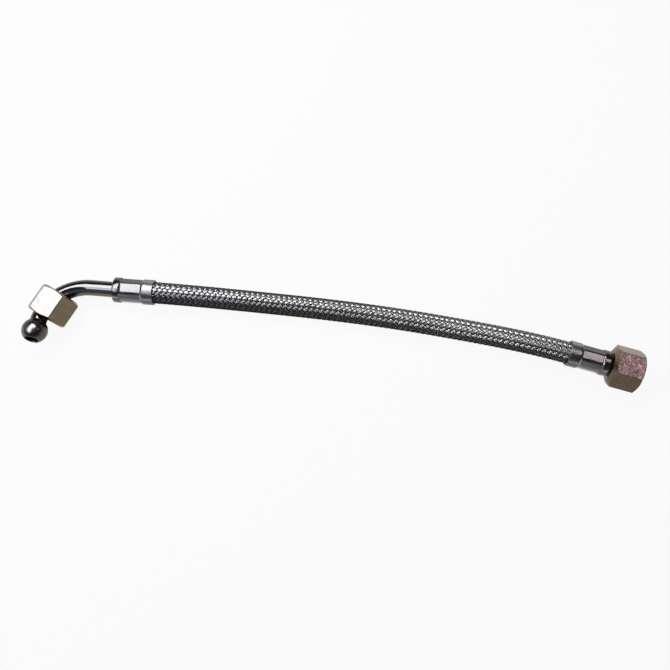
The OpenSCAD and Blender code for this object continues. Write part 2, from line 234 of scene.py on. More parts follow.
# %% Strands
def add_strands(name, hand):
    """Sixteen ribbons wound round the hose, hand +1 or -1.

    Ribbon k is at angle twist + 2 pi (k / 16 + hand * s / lead), where the twist grows with
    s. Its height follows a cosine of 2 k + hand * 32 s / lead - 1/2, flattened by a tanh,
    over two crossings and under two; the other hand has the opposite height. Across the
    ribbon the edges curl down by the square of the distance from its middle."""
    columns = 9
    per_crossing = 4.5
    rows = int(route_s[-1] / (LEAD / 2 / CARRIERS) * per_crossing)
    s = np.linspace(0, route_s[-1], rows)[None, :, None]
    k = np.arange(CARRIERS)[:, None, None]
    across = np.linspace(-1, 1, columns)[None, None, :]
    crossing = 2 * k + hand * 2 * CARRIERS * s / LEAD
    wave = hand * np.cos(2 * math.pi * (crossing - 0.5) / 4)
    height = STRAND_LIFT * np.tanh(STRAND_FLAT * wave) / math.tanh(STRAND_FLAT)
    offset = across * STRAND_W / 2
    twist = np.radians(WEAVE_TURN + TWIST_PER_MM * s)
    angle = twist + 2 * math.pi * (k / CARRIERS + hand * s / LEAD)
    angle = angle + offset * math.cos(BRAID_TILT) / HOSE_R
    place = s - hand * offset * math.sin(BRAID_TILT)
    place = np.clip(place, 0, route_s[-1])
    radius = STRAND_MID_R + height - STRAND_CURL * across**2
    points = on_hose(*np.broadcast_arrays(place, angle, radius))
    length = s[0, :, 0] / math.cos(BRAID_TILT)
    ribbon = add_grid(name, points, length, across[0, 0] / 2 + 0.5, close_columns=False)
    sideways_way = np.gradient(points, axis=2)
    sideways_way /= np.linalg.norm(sideways_way, axis=-1, keepdims=True)
    store(ribbon, "across", sideways_way)
    store(ribbon, "lift", np.broadcast_to(height / STRAND_LIFT, points.shape[:-1]))
    # The third attribute is a painted highlight ridge along the hose, with painted shade away from
    # it.
    store(ribbon, "painted_ridge", painted_ridge_share(s, angle))
    return ribbon


strands_one = add_strands("braid_strands_one", 1)
strands_two = add_strands("braid_strands_two", -1)

# %% [markdown]
# ## The rubber tube inside
# Between the strands the black inner tube shows. It is a plain round tube, but its skin has
# a fine grain, and it must be there, because without it the holes would show the far side.

# %% Liner
LINER_R = 4.8


def add_liner():
    """A tube round the hose's route: radius 4.8 at every angle."""
    s = np.linspace(0, route_s[-1], 220)[:, None]
    angle = np.linspace(0, 2 * math.pi, 33)[None, :-1]
    points = on_hose(*np.broadcast_arrays(s, angle, LINER_R))
    return add_grid("hose_liner", points[None], s[:, 0], np.linspace(0, 30, 33))


liner = add_liner()

# %% [markdown]
# ## What the hose's pieces belong to
# The sleeve and the tube ride on the same body as the ferrules, and take the place of the two
# solids that stood for them.

# %% The hose's place on the frame
for piece in (strands_one, strands_two, liner):
    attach(piece, "hose_line")
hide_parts("braid")
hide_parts("braid")
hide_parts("liner")

# %% [markdown]
# ## Turned profiles with soft edges
# Nuts, ferrules and the ball are all a profile carried round an axis. Real edges are never
# sharp: a cutting tool and the plating leave a small round on each, and that round is what
# glints. This helper takes a profile's corners and puts a short curve in place of each one,
# with a row of points on both sides so that the flats next to it stay flat.

# %% Profile helper
def soften(corners, rounds, columns):
    """Rows of (x, r) for a closed profile, one column for each angle.

    Each corner V with round d becomes points of the curve
    (1-t)^2 (V + d a) + 2 t (1-t) V + t^2 (V + d b), where a and b point to its neighbours.
    No round takes more than 0.4 of a neighbouring side, and one more point lies 1.15 d away
    on each."""
    v = np.stack([np.stack([np.broadcast_to(np.asarray(c, float), (columns,)) for c in pair], -1)
                  for pair in corners])
    back = np.roll(v, 1, 0) - v
    ahead_v = np.roll(v, -1, 0) - v
    back_l = np.linalg.norm(back, axis=-1, keepdims=True)
    ahead_l = np.linalg.norm(ahead_v, axis=-1, keepdims=True)
    d = np.minimum(np.asarray(rounds, float)[:, None, None],
                   0.4 * np.minimum(back_l, ahead_l))
    start = back / back_l
    end = ahead_v / ahead_l
    t = np.linspace(0, 1, 6)[:, None, None, None]
    curve = (1 - t)**2 * (v + d * start) + 2 * t * (1 - t) * v + t**2 * (v + d * end)
    before = (v + 1.15 * d * start)[None]
    after = (v + 1.15 * d * end)[None]
    rows = np.concatenate([before, curve, after])
    return [rows[:, i] for i in range(len(corners))]


def carry_round(profile, angles):
    """(x, r cos angle, r sin angle) for each row of the profile and each angle."""
    return np.stack([profile[..., 0], profile[..., 1] * np.cos(angles),
                     profile[..., 1] * np.sin(angles)], -1)


def lay(points, at, way=(1, 0, 0)):
    """Lays a piece's own X along way, its Y level, and its origin at a place; gives metres."""
    level = np.cross([0, 0, 1], way)
    level = level / np.linalg.norm(level)
    turned = points @ np.array([way, level, np.cross(way, level)])
    return (turned + np.asarray(at)) * MM


def lengths(profile):
    """Distance along the profile, row by row, closed."""
    first = profile[:, 0]
    gaps = np.linalg.norm(np.diff(np.concatenate([first, first[:1]]), axis=0), axis=1)
    return np.concatenate([[0], np.cumsum(gaps)])

# %% [markdown]
# ## The swivel nuts
# Both nuts are cut from hexagonal bar, 19 mm across its flats. The lathe chamfers the ends,
# so the flats end in arcs, and cuts the thread. The outline round the nut is a hexagon with
# small rounds on its six edges. The chamfer starts further in where the bar is wider, and
# that alone makes the arcs. The thread is a groove whose depth follows a helix: 19 turns to
# the inch, cut outwards from the bore.

# %% Hexagon
NUT_AF = 19.0                    # across the flats
EDGE_R = 0.3                     # of the hexagon's six edges


def hexagon():
    """Angle and radius of points round the bar.

    Each flat is the line r = AF / 2 seen square on; each edge is an arc of EDGE_R. They are
    complex numbers, so that a turn by an angle is a product with exp(i angle)."""
    half = NUT_AF / 2 * math.tan(math.pi / 6)
    reach = half - EDGE_R * math.tan(math.pi / 6)
    flat = NUT_AF / 2 + 1j * np.concatenate([[-reach, -reach + 0.06], np.linspace(-4.8, 4.8, 13),
                                             [reach - 0.06, reach]])
    middle = (NUT_AF / 2 - EDGE_R) / math.cos(math.pi / 6)
    arc = middle + EDGE_R * np.exp(1j * np.radians([-18, -6, 6, 18]))
    sector = np.concatenate([arc, flat * np.exp(1j * math.pi / 6)])
    whole = np.concatenate([sector * np.exp(1j * math.pi / 3 * k) for k in range(6)])
    angle = np.unwrap(np.angle(whole))
    return angle, np.abs(whole)


HEX_ANGLE, HEX_R = hexagon()
print("columns round a nut:", len(HEX_ANGLE))

# %% Thread
PITCH = 25.4 / 19
THREAD_MINOR = 7.475             # radius of the thread's crests, which is the bore
THREAD_DEPTH = 0.856


def thread_radius(x, angle):
    """A rounded V groove on a right-hand helix.

    The depth is a triangle wave with soft tips, asin(0.93 cos phase) scaled to 0..1, and
    the phase is x / pitch - angle / a full turn."""
    phase = 2 * math.pi * x / PITCH - angle
    wave = np.arcsin(0.93 * np.cos(phase)) / math.asin(0.93)
    return THREAD_MINOR + THREAD_DEPTH * (0.5 + 0.5 * wave)

# %% Nut
GROOVE_R = 8.43                  # run-out groove behind the thread
MOUTH_R = 8.475                  # outer end of the lead-in
MOUTH_FACE_R = 8.9               # outer end of the flat ring on the mouth face
CHAMFER = math.tan(math.radians(30))
LEAD_IN = 1
STEP = 0.01                      # along the axis, in place of a wall square to it


def add_nut(name, length, back_d, hole_d, lip, seat, groove_w, at, way):
    """A nut along +X from its back face: bore, thread, mouth, chamfers and hexagon.

    At each angle a chamfer starts (hexagon's radius - ring's radius) * tan 30 from its end.
    The lip is as thick as it says, the cone of seat widens the bore from it to the groove,
    and a seat of 0 is a flat lip. The thread's radius is the larger of the helix's and of
    the lead-in's cone."""
    n = len(HEX_ANGLE)
    front_x = length - (HEX_R - MOUTH_FACE_R) * CHAMFER
    back_x = (HEX_R - back_d / 2) * CHAMFER
    start = lip + seat + groove_w
    corners = [(0, hole_d / 2), (lip, hole_d / 2),
               (lip + seat, GROOVE_R if seat == 0 else THREAD_MINOR),
               (lip + seat + STEP, GROOVE_R), (start, GROOVE_R), (start + STEP, THREAD_MINOR),
               (length, MOUTH_R), (length, MOUTH_FACE_R), (front_x, HEX_R), (back_x, HEX_R),
               (0, back_d / 2)]
    rounds = [0.25, 0.1, 0.05, 0.05, 0.1, 0.05, 0.12, 0.25, 0.22, 0.22, 0.25]
    rows = soften(corners, rounds, n)
    x = np.concatenate([np.arange(start + 2 * STEP, length - LEAD_IN, 0.1),
                        np.linspace(length - LEAD_IN, length - 0.15, 10)])[:, None]
    lead_in = THREAD_MINOR + np.maximum(0, x - length + LEAD_IN)
    cut = np.maximum(thread_radius(x, HEX_ANGLE), lead_in)
    rows[5] = np.stack([x + 0 * cut, cut], -1)
    flats = np.linspace(0, 1, 9)[1:-1, None, None]
    rows[8] = np.concatenate([rows[8], rows[8][-1] + flats * (rows[9][0] - rows[8][-1])])
    profile = np.concatenate(rows)
    points = lay(carry_round(profile, HEX_ANGLE), at, way)
    round_uv = np.linspace(0, 60, n + 1)
    return add_grid(name, points[None], lengths(profile), round_uv, close_rows=True)


straight_nut = add_nut("straight_swivel_nut", length=15.0, back_d=14.3, hole_d=8.6, lip=2.8,
                       seat=0, groove_w=4.1, at=(-14, 0, 0), way=(1, 0, 0))

# %% [markdown]
# ## The elbow and the loose nut
# The tube leaves its ferrule level, and its bend lies in a plane tilted by 15 degrees about
# the ferrule's axis, which lifts the ball. The union nut is not fixed to it. It slid down
# the bend until it met the table, so it lies level. Both places are worked out as the
# solid's are: along the tube, round the bend and, for the nut, a little to the inner side.

# %% Elbow places
TUBE_LEAD = 12.0                 # straight tube before the bend
BEND_R = 22.0
BEND_ANGLE = 86
TUBE_TAIL = 5.8                  # from the bend to the ball's centre
TILT = math.radians(15)
LIP_ANGLE = math.radians(41)     # where on the bend the nut's lip lies
LIP_SHIFT = 0.4                  # of the nut, to the bend's inner side
LIP_T = 1.8
NUT_TURN = math.radians(63.3)    # of the nut's axis, seen from above

ELBOW_TURN = math.pi + HOSE_TURN
tube_way = np.array([math.cos(ELBOW_TURN), math.sin(ELBOW_TURN), 0])
level_way = np.array([-math.sin(ELBOW_TURN), math.cos(ELBOW_TURN), 0])
bend_way = level_way * math.cos(TILT) + np.array([0, 0, math.sin(TILT)])


def round_bend(degrees, beyond=0.0):
    """Place and direction on the elbow: lead, then the bend's circle, then straight on."""
    a = math.radians(degrees)
    along = TUBE_LEAD + BEND_R * math.sin(a) + beyond * math.cos(a)
    across = BEND_R * (1 - math.cos(a)) + beyond * math.sin(a)
    place = ELBOW_AT + along * tube_way + across * bend_way
    return place, math.cos(a) * tube_way + math.sin(a) * bend_way

# %% Loose nut
flat_share = math.cos(TILT)
seen_way = np.array([math.cos(LIP_ANGLE), math.sin(LIP_ANGLE) * flat_share])
seen_way = seen_way / np.linalg.norm(seen_way)
lip_along = TUBE_LEAD + BEND_R * math.sin(LIP_ANGLE) - LIP_SHIFT * seen_way[1]
lip_across = BEND_R * (1 - math.cos(LIP_ANGLE)) * flat_share + LIP_SHIFT * seen_way[0]
lip_place = ELBOW_AT * [1, 1, 0] + lip_along * tube_way + lip_across * level_way
nut_way = math.cos(NUT_TURN) * tube_way + math.sin(NUT_TURN) * level_way
elbow_nut = add_nut("elbow_union_nut", length=14.5, back_d=17.0, hole_d=10.9, lip=LIP_T,
                    seat=2.025, groove_w=2.0, at=lip_place - LIP_T / 2 * nut_way, way=nut_way)
print("elbow nut's lip at", np.round(lip_place, 3))

# %% [markdown]
# ## The crimped ferrules
# A ferrule starts as a plain pressed cup. Eight jaws squeeze its middle on to the hose, and
# leave a round dome at one end and an open bell at the other. Pressed sheet doesn't fold
# sharply, so the eight flats blend into each other and into the round ends. Taking the
# smaller of two radii, softly, does this: the cup's own, and the jaws'.

# %% Crimp
CRIMP_AF = 11.5                  # across two opposite flats
DIE_R = 1.2                      # at the ends of a jaw
DOME_L = 3.2                     # from the dome's end to the jaws
CRIMP_END = 15.2                 # from the dome's end to where the bell starts


def pressed(x, cup, angle):
    """Radius after crimping.

    A jaw leaves a flat at distance low from the axis, and jaw k faces k eighths of a turn.
    The flats meet softly as low / (sum of cos(angle - turn)^30)^(1/30), over the jaws that
    an angle faces at all, and the result blends with the cup by
    (a + b - sqrt((a - b)^2 + 0.02)) / 2. At both ends low rises by a quarter circle."""
    beyond = np.where(x > -8, x + DOME_L + DIE_R, -x - CRIMP_END + DIE_R)
    rise = np.clip(beyond, 0, DIE_R)
    low = CRIMP_AF / 2 + DIE_R - np.sqrt(np.maximum(DIE_R**2 - rise**2, 0))
    low = low + 8 * np.maximum(beyond - DIE_R, 0)
    jaws = np.arange(8) * math.pi / 4
    facing = np.maximum(np.cos(angle[..., None] - jaws), 0)
    jaw = low / (facing**30).sum(-1)**(1 / 30)
    return (cup + jaw - np.sqrt((cup - jaw)**2 + 0.02)) / 2

# %% Ferrule
FERRULE_R = 6.45
FERRULE_HOLE_R = 4.1             # in the end wall, round the neck
LOCK_R = 5.15                    # bore round the tail's lock collar
PINCH_R = 4.85                   # bore where the hose is pinched
BELL_BORE_R = 5.6
END_WALL = 1.1


def add_ferrule(name, at, way):
    """A crimped cup along -X from its dome: outside, rim, bell, bore and end wall."""
    n = 128
    angle = np.linspace(0, 2 * math.pi, n + 1)[:-1]
    corners = [(-END_WALL, FERRULE_HOLE_R), (0, FERRULE_HOLE_R), (0, FERRULE_R),
               (-FERRULE_L, FERRULE_R), (-FERRULE_L, BELL_BORE_R), (-15.65, BELL_BORE_R),
               (-14.2, PINCH_R), (-3.6, PINCH_R), (-3.6, LOCK_R), (-END_WALL, LOCK_R)]
    rounds = [0.05, 0.2, 2.2, 0.4, 0.25, 0.2, 0.2, 0.05, 0.05, 0.05]
    rows = soften(corners, rounds, n)
    x = np.concatenate([np.linspace(-2.6, -4.6, 18), np.linspace(-5, -13.6, 16),
                        np.linspace(-13.8, -15.6, 18), np.linspace(-16, -19.7, 8)])
    x = np.broadcast_to(x[:, None], (len(x), n))
    rows[2] = np.concatenate([rows[2][:-1], np.stack([x, FERRULE_R + 0 * x], -1)])
    outside = rows[2]
    shaped = pressed(outside[..., 0], outside[..., 1], angle)
    rows[2] = np.stack([outside[..., 0], shaped], -1)
    profile = np.concatenate(rows)
    points = lay(carry_round(profile, angle), at, way)
    sleeve = add_grid(name, points[None], lengths(profile), np.linspace(0, 40, n + 1),
                      close_rows=True)
    store(sleeve, "bell", np.clip((-profile[..., 0] - CRIMP_END) / 0.5, 0, 1))
    return sleeve


straight_ferrule = add_ferrule("straight_crimp_ferrule", (FERRULE_X, 0, 0), (1, 0, 0))
elbow_ferrule = add_ferrule("elbow_crimp_ferrule", ELBOW_AT, tube_way)

# %% [markdown]
# ## The bent tube
# The elbow is an 8 mm tube bent to a 22 mm radius. Chrome shows every facet as a break in
# its reflections, so the tube gets many rows round the bend.

# %% Tube
TUBE_R = 4.0
TUBE_BORE_R = 3.2
SOCKET = 2.7                     # of tube inside the ferrule and the tail
BALL_STOP = 1.5                  # from the tube's end to the ball's centre


def add_tube():
    """A ring of radius 4 outside and 3.2 inside, carried along lead, bend and tail.

    A ring's point is centre + radius * (cos angle * inward + sin angle * out of the plane)."""
    places = [round_bend(0, v - TUBE_LEAD) for v in np.linspace(-SOCKET, TUBE_LEAD, 14)]
    places += [round_bend(v) for v in np.linspace(0, BEND_ANGLE, 70)[1:]]
    places += [round_bend(BEND_ANGLE, v) for v in np.linspace(0, TUBE_TAIL - BALL_STOP, 6)[1:]]
    centre = np.array([p for p, _ in places])
    way = np.array([w for _, w in places])
    centre = np.concatenate([centre[::-1], centre])[:, None]
    way = np.concatenate([way[::-1], way])[:, None]
    out = np.cross(tube_way, bend_way)
    inward = np.cross(out, way)
    radius = np.repeat([TUBE_R, TUBE_BORE_R], len(places))[:, None, None]
    angle = np.linspace(0, 2 * math.pi, 65)[None, :-1, None]
    points = centre + radius * (np.cos(angle) * inward + np.sin(angle) * out)
    run = np.linalg.norm(np.diff(centre[:, 0], axis=0), axis=1)
    along = np.concatenate([[0], np.cumsum(run + 0.01), [2 * run.sum()]])
    return add_grid("elbow_bent_tube", points[None] * MM, along, np.linspace(0, 25, 65),
                    close_rows=True)


bent_tube = add_tube()

# %% [markdown]
# ## The ball nose
# The ball seals against a cone in the mating part. It is turned as one piece with a flat tip
# and a coned mouth, and brazed on to the tube, which leaves a small fillet behind it.

# %% Ball
BALL_R = 6.2
BALL_TIP = 5.0
FILLET_R = 0.8


def add_ball():
    """A circle of radius 6.2 from the tip back to the fillet, a hollow arc of radius 0.8,
    the socket, the waterway and the coned mouth, carried round the tube's axis.

    The fillet's centre is off the axis by the tube's radius and its own, and off the ball's
    centre by the ball's radius and its own, which gives its place along the axis."""
    n = 96
    out = TUBE_R + FILLET_R
    back_x = math.sqrt((BALL_R + FILLET_R)**2 - out**2)
    sphere_a = np.linspace(math.acos(BALL_TIP / BALL_R) + 0.02,
                           math.pi - math.atan2(out, back_x), 48)
    sphere = BALL_R * np.stack([np.cos(sphere_a), np.sin(sphere_a)], -1)
    hollow_a = np.linspace(math.atan2(-out, back_x), -math.pi / 2, 12)[1:]
    hollow = [-back_x, out] + FILLET_R * np.stack([np.cos(hollow_a), np.sin(hollow_a)], -1)
    # x and r from behind the ball: the socket, its step, the waterway, the cone and the tip
    inside = np.array([(-back_x, 4.05), (1.5, 4.05), (1.5, 3.24), (1.54, 3.2), (4.6, 3.2),
                       (4.72, 3.2), (4.77, 3.23), (4.9, 3.36), (4.96, 3.42), (5.0, 3.47),
                       (5.0, 3.52), (4.99, 3.57)])
    flat = np.concatenate([inside, sphere, hollow])
    profile = np.broadcast_to(flat[:, None], (len(flat), n, 2))
    angle = np.linspace(0, 2 * math.pi, n + 1)[:-1]
    place, way = round_bend(BEND_ANGLE, TUBE_TAIL)
    points = lay(carry_round(profile, angle), place, way)
    print("ball centre", np.round(place, 3))
    return add_grid("ball_nose", points[None], lengths(profile), np.linspace(0, 40, n + 1),
                    close_rows=True)


ball = add_ball()

# %% [markdown]
# ## What the metal pieces belong to
# The two nuts turn and slide, so each rides on a body of its own. The ferrules, the tube and
# the ball never move on the hose and share its body. Each piece takes the place of one solid.

# %% Put the metal pieces on their bodies
for piece, body, node, slot in (
        (straight_nut, "straight_nut", "straight_nut", "straight_nut_plating"),
        (elbow_nut, "elbow_nut", "elbow_nut", "elbow_nut_plating"),
        (straight_ferrule, "hose_line", "straight_ferrule", "ferrule_steel"),
        (elbow_ferrule, "hose_line", "elbow_ferrule", "ferrule_steel"),
        (bent_tube, "hose_line", "elbow_tube", "tube_plating"),
        (ball, "hose_line", "ball_head", "tube_plating")):
    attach(piece, body)
    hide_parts(node)

# %% [markdown]
# ## Materials from nodes
# A finish is a small graph of nodes: where on the piece we are, a pattern there, and what
# the pattern changes. One helper makes a node, sets its numbers and joins its inputs.

# %% Node helper
def put(tree, kind, inputs=(), **settings):
    """Adds a node. Inputs are (name or number, value or socket) pairs."""
    node = tree.nodes.new(kind)
    for key, value in settings.items():
        setattr(node, key, value)
    for key, value in dict(inputs).items():
        if isinstance(value, bpy.types.NodeSocket):
            tree.links.new(value, node.inputs[key])
        else:
            node.inputs[key].default_value = value
    return node


def math_node(tree, operation, a, b=0.0, c=0.0):
    """One sum, such as MULTIPLY, and its result."""
    return put(tree, "ShaderNodeMath", [(0, a), (1, b), (2, c)], operation=operation).outputs[0]


def noise(tree, where, scale, detail=3.0, rough=0.5):
    """Soft noise from 0 to 1, in so many lumps to the metre."""
    return put(tree, "ShaderNodeTexNoise", [("Vector", where), ("Scale", scale),
                                            ("Detail", detail), ("Roughness", rough)]).outputs[0]


def spread_to(tree, value, low, high, to_low, to_high):
    """Maps low..high to to_low..to_high and holds it there."""
    return put(tree, "ShaderNodeMapRange", [(0, value), (1, low), (2, high), (3, to_low),
                                            (4, to_high)]).outputs[0]


def blend_colour(tree, share, one, two):
    """Colour one where share is 0, colour two where it is 1."""
    mix = put(tree, "ShaderNodeMix", data_type="RGBA")
    for socket, value in ((mix.inputs[0], share), (mix.inputs[6], one), (mix.inputs[7], two)):
        if isinstance(value, bpy.types.NodeSocket):
            tree.links.new(value, socket)
        else:
            socket.default_value = value if isinstance(value, float) else (*value, 1)
    return mix.outputs[2]


def new_finish(name, metallic):
    """A material with its shader, and the place on the piece."""
    material = bpy.data.materials.new(name)
    material.use_nodes = True
    tree = material.node_tree
    shader = next(n for n in tree.nodes if n.type == "BSDF_PRINCIPLED")
    shader.inputs["Metallic"].default_value = metallic
    where = put(tree, "ShaderNodeTexCoord")
    print("finish:", name)
    return material, tree, shader, where


def finish_with(tree, shader, colour, rough, height=None, depth=0.0):
    """Joins colour, roughness and, as a bump of that depth in metres, height."""
    tree.links.new(colour, shader.inputs["Base Color"])
    tree.links.new(rough, shader.inputs["Roughness"])
    if height is not None:
        bump = put(tree, "ShaderNodeBump", [("Height", height), ("Distance", depth),
                                            ("Strength", 1.0)])
        tree.links.new(bump.outputs[0], shader.inputs["Normal"])

# %% Which way a surface faces
def facing_share(tree, where, axis, low, high):
    """0 where the Normal's part along the axis is low or less, 1 where it is high or more."""
    facing = put(tree, "ShaderNodeSeparateXYZ", [(0, where.outputs["Normal"])])
    return spread_to(tree, facing.outputs[axis], low, high, 0.0, 1.0)

# %% [markdown]
# ## Stainless wire
# Each ribbon stands for a bundle of bright wires side by side, eight of them here. Round
# wire throws a lamp's light into a wide fan, and that is why a braid sparkles in rows of
# dots: a dot shows wherever the wires' slope along their length suits the lamp. A wire is
# too thin to model, so the finish turns the surface's normal across the ribbon as eight half
# rounds would. The colour also holds painted shade and a painted highlight: painted shade on
# the wires' flanks, where the turned normal leans away from up; painted shade where a bundle
# dips under another, by the attribute lift; and a painted highlight ridge along the hose, by a
# second attribute, from a shaded grey at 0 to the wire's full grey at 1.

# %% Wire finish
WIRES = 8.0
WIRE_ROUND = 0.45
WIRE_GREY = (0.90, 0.90, 0.91)
WIRE_WHITE = (0.99, 0.99, 0.99)
# The next three colours are painted shade: off the painted highlight ridge, on the wires' flanks,
# and where a bundle dips under another.
WIRE_OFF_RIDGE_SHADE = (0.22, 0.22, 0.25)
WIRE_FLANK_SHADE = (0.055, 0.05, 0.043)
WIRE_DIP_SHADE = (0.03, 0.028, 0.026)


def wire_finish():
    """Leans the normal by 0.45 c / sqrt(1.04 - c^2), where c runs from -1 to 1 over a wire.

    The leaned normal's upward part blends from painted shade on the wire's flanks to its grey."""
    material, tree, shader, where = new_finish("bright_braid_wire", 1.0)
    uv = put(tree, "ShaderNodeSeparateXYZ", [(0, where.outputs["UV"])])
    part = math_node(tree, "FRACT", math_node(tree, "MULTIPLY", uv.outputs[1], WIRES))
    centred = math_node(tree, "MULTIPLY_ADD", part, 2.0, -1.0)
    square = math_node(tree, "MULTIPLY", centred, centred)
    dome = math_node(tree, "SQRT", math_node(tree, "SUBTRACT", 1.04, square))
    slope = math_node(tree, "MULTIPLY", math_node(tree, "DIVIDE", centred, dome), WIRE_ROUND)
    across = put(tree, "ShaderNodeAttribute", attribute_name="across")
    lean = put(tree, "ShaderNodeVectorMath", [(0, across.outputs["Vector"])], operation="SCALE")
    tree.links.new(slope, lean.inputs["Scale"])
    summed = put(tree, "ShaderNodeVectorMath", [(0, where.outputs["Normal"]),
                                                (1, lean.outputs[0])], operation="ADD")
    turned = put(tree, "ShaderNodeVectorMath", [(0, summed.outputs[0])], operation="NORMALIZE")
    facing = put(tree, "ShaderNodeSeparateXYZ", [(0, turned.outputs[0])])
    tone = noise(tree, where.outputs["Object"], 900.0, 2.0)
    grey = blend_colour(tree, spread_to(tree, tone, 0.35, 0.65, 0.0, 1.0),
                        WIRE_GREY, WIRE_WHITE)
    # Painted highlight ridge along the hose; away from it, painted shade.
    painted_ridge = put(tree, "ShaderNodeAttribute", attribute_name="painted_ridge")
    grey = blend_colour(tree, painted_ridge.outputs["Fac"], WIRE_OFF_RIDGE_SHADE, grey)
    # Painted shade: the wire's flanks darken where the turned normal leans away from up.
    upward = spread_to(tree, facing.outputs[2], 0.66, 0.82, 0.0, 1.0)
    colour = blend_colour(tree, upward, WIRE_FLANK_SHADE, grey)
    # Painted shade: the wire darkens where its bundle dips under another.
    lift = put(tree, "ShaderNodeAttribute", attribute_name="lift")
    raised = spread_to(tree, lift.outputs["Fac"], -0.1, 0.8, 0.0, 1.0)
    colour = blend_colour(tree, raised, WIRE_DIP_SHADE, colour)
    rough = spread_to(tree, tone, 0.3, 0.7, 0.18, 0.26)
    finish_with(tree, shader, colour, rough)
    tree.links.new(turned.outputs[0], shader.inputs["Normal"])
    shader.inputs["Specular Tint"].default_value = (0.3, 0.3, 0.3, 1)
    return material


WIRE = wire_finish()

# %% [markdown]
# ## Black rubber
# The liner and the washer are the same black rubber: dark, dull, with a fine moulded grain.

# %% Rubber finish
def rubber_finish(name, shade):
    """Black from shade to 1.8 shade in soft clouds, under a fine grain in the bump."""
    material, tree, shader, where = new_finish(name, 0.0)
    grain = noise(tree, where.outputs["Object"], 2500.0, 4.0)
    cloud = noise(tree, where.outputs["Object"], 200.0, 2.0)
    colour = blend_colour(tree, cloud, (shade,) * 3, (shade * 1.8,) * 3)
    rough = spread_to(tree, grain, 0.3, 0.7, 0.45, 0.65)
    finish_with(tree, shader, colour, rough, grain, 0.00004)
    return material


LINER_RUBBER = rubber_finish("liner_rubber", 0.014)
WASHER_RUBBER = rubber_finish("washer_rubber", 0.02)

# %% [markdown]
# ## Bright plate
# The tube is polished and nickel plated. Polish hides most marks, so the detail is slight: a
# faint orange-peel in the bump and a little haze. The ferrules are pressed from bright
# strip, slightly wavy along its length, and the waves draw each reflection out into streaks.
# Their bells take a painted paler reflection on their upper side and a hazier roughness,
# and the ball is duller than the tube.
# Each finish also holds a painted tone for each way that a surface faces: painted reflection
# and painted shade that stand in for a room with more in it than four lamps, and they show
# the same in any light.

# %% Plate finish
BELL_PAINTED_SHEEN = (0.43, 0.41, 0.43)
BELL_HAZE = 0.18


def plate_finish(name, top, shoulder, sides, rim, rough_low, rough_high, peel, streaks=0.0):
    """Top, shoulder and sides are painted reflection and shade where the metal faces up, aslant and
    sideways.

    Rim is the upward part of the Normal at which the sides give way to the shoulder, which
    shows on the -Y side alone. Peel is the bump's depth in metres. A finish with streaks is
    for the pressed sleeves, whose attribute bell is 1 on the bell; where the bell faces up it
    takes a painted paler reflection and a hazier roughness."""
    material, tree, shader, where = new_finish(name, 1.0)
    haze = noise(tree, where.outputs["Object"], 260.0, 4.0)
    ripple = noise(tree, where.outputs["Object"], 700.0, 2.0)
    if streaks:
        stretch = put(tree, "ShaderNodeMapping", [(0, where.outputs["UV"]),
                                                  ("Scale", (0.12, 1.0, 1.0))])
        waves = noise(tree, stretch.outputs[0], 0.9, 3.0, 0.6)
        ripple = math_node(tree, "MULTIPLY_ADD", waves, streaks, ripple)
    bright = [channel * 1.2 for channel in top]
    top = blend_colour(tree, spread_to(tree, haze, 0.35, 0.65, 0.0, 1.0), top, bright)
    # Painted reflection and painted shade, chosen by the way the surface faces.
    colour = blend_colour(tree, facing_share(tree, where, 2, rim - 0.04, rim + 0.04), sides,
                          shoulder)
    colour = blend_colour(tree, facing_share(tree, where, 1, -0.15, 0.1), colour, sides)
    colour = blend_colour(tree, facing_share(tree, where, 2, 0.86, 0.95), colour, top)
    rough = spread_to(tree, haze, 0.35, 0.7, rough_low, rough_high)
    if streaks:
        # Painted paler reflection where the bell faces up, and hazier roughness there.
        bell = put(tree, "ShaderNodeAttribute", attribute_name="bell").outputs["Fac"]
        bell = math_node(tree, "MULTIPLY", bell, facing_share(tree, where, 2, 0.6, 0.8))
        colour = blend_colour(tree, bell, colour, BELL_PAINTED_SHEEN)
        rough = math_node(tree, "MULTIPLY_ADD", bell, BELL_HAZE, rough)
    finish_with(tree, shader, colour, rough, ripple, peel)
    return material


# Top, shoulder and sides of each plate below are painted reflection and painted shade.
TUBE_PLATE = plate_finish(
    "polished_tube_plate", top=(0.17, 0.165, 0.165), shoulder=(0.97, 0.96, 0.97),
    sides=(0.125, 0.11, 0.095), rim=0.76, rough_low=0.05, rough_high=0.14, peel=0.00001)
BALL_PLATE = plate_finish(
    "tumbled_ball_plate", top=(0.4, 0.39, 0.4), shoulder=(0.17, 0.16, 0.155),
    sides=(0.10, 0.085, 0.07), rim=0.6, rough_low=0.2, rough_high=0.34, peel=0.00003)
FERRULE_PLATE = plate_finish(
    "pressed_ferrule_steel", top=(0.165, 0.16, 0.167), shoulder=(0.40, 0.38, 0.395),
    sides=(0.12, 0.11, 0.115), rim=0.6, rough_low=0.08, rough_high=0.2, peel=0.00002,
    streaks=4.0)
NIPPLE_PLATE = plate_finish(
    "turned_nipple_plate", top=(0.40, 0.36, 0.30), shoulder=(0.40, 0.36, 0.30),
    sides=(0.3, 0.27, 0.22), rim=0.6, rough_low=0.15, rough_high=0.3, peel=0.00001)

# %% [markdown]
# ## Satin nut plating
# The nuts are plated over drawn bar, so their flats are slightly uneven and mottle the
# reflections. Each flat's colour is painted reflection and painted shade by the way it faces
# at rest: mauve on the straight nut's upper flat, pale grey on the elbow nut's, and brown on
# their neighbours, darker on those toward -Y. These painted tones belong to the flats, so they
# turn with the nut. Fine pale painted glints cross the upper flat, where a noise passes
# through its middle value.

# %% Nut finish
# Colour of the painted glints on the nuts' upper flats.
PAINTED_GLINT_COLOUR = (0.75, 0.62, 0.6)


